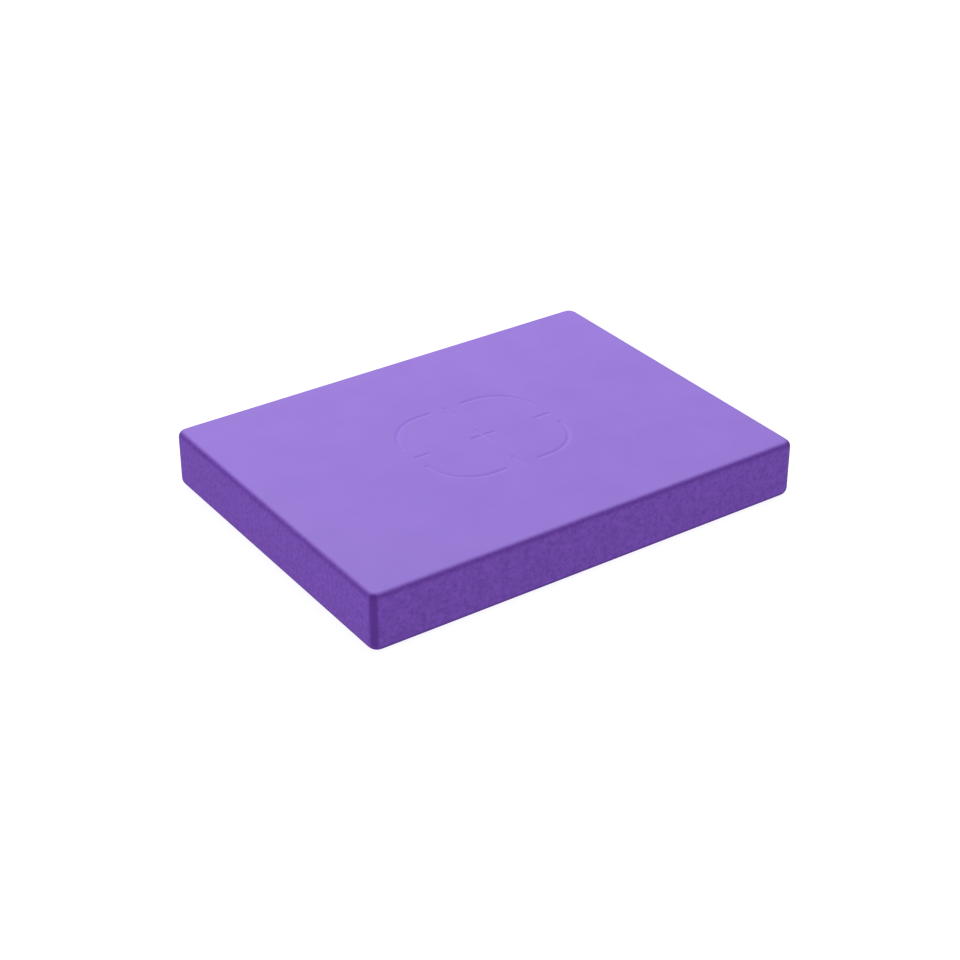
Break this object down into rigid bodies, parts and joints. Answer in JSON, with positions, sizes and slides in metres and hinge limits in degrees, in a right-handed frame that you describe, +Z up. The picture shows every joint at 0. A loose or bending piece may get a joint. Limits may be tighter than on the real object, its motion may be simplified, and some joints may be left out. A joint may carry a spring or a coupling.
{
  "type": "balance pad",
  "caption": "Rectangular foam balance pad with rounded edges, a smooth top with a pressed centring mark, a grip underside and a springy foam core.",
  "frame": {"origin": "centre of the underside, on the plane that the pad lies on", "axes": "+X along the pad's length, +Y along its width, +Z up from the floor through the top face"},
  "size_m": [0.4, 0.3, 0.05],
  "materials": {
    "top_skin": "smooth matt moulded skin of violet closed-cell foam",
    "foam_core": "matt violet closed-cell foam with fine open cut cells on its sides",
    "bond_film": "thin dark violet adhesive film, seen only as a hairline",
    "grip_skin": "matt violet foam skin with small pressed grip dimples"
  },
  "bodies": {
    "base": {"bottom_facing": "grip_skin", "bottom_bond_film": "bond_film", "lower_foam_ply": "foam_core"},
    "top": {"upper_foam_ply": "foam_core", "top_bond_film": "bond_film", "top_facing": "top_skin"}
  },
  "joints": [
    {"name": "foam_compression", "type": "slide", "parent": "base", "child": "top", "axis": [0, 0, -1], "range_m": [0, 0.02], "stiffness_N_per_m": 50000, "deforming": ["upper_foam_ply", "lower_foam_ply"]}
  ]
}
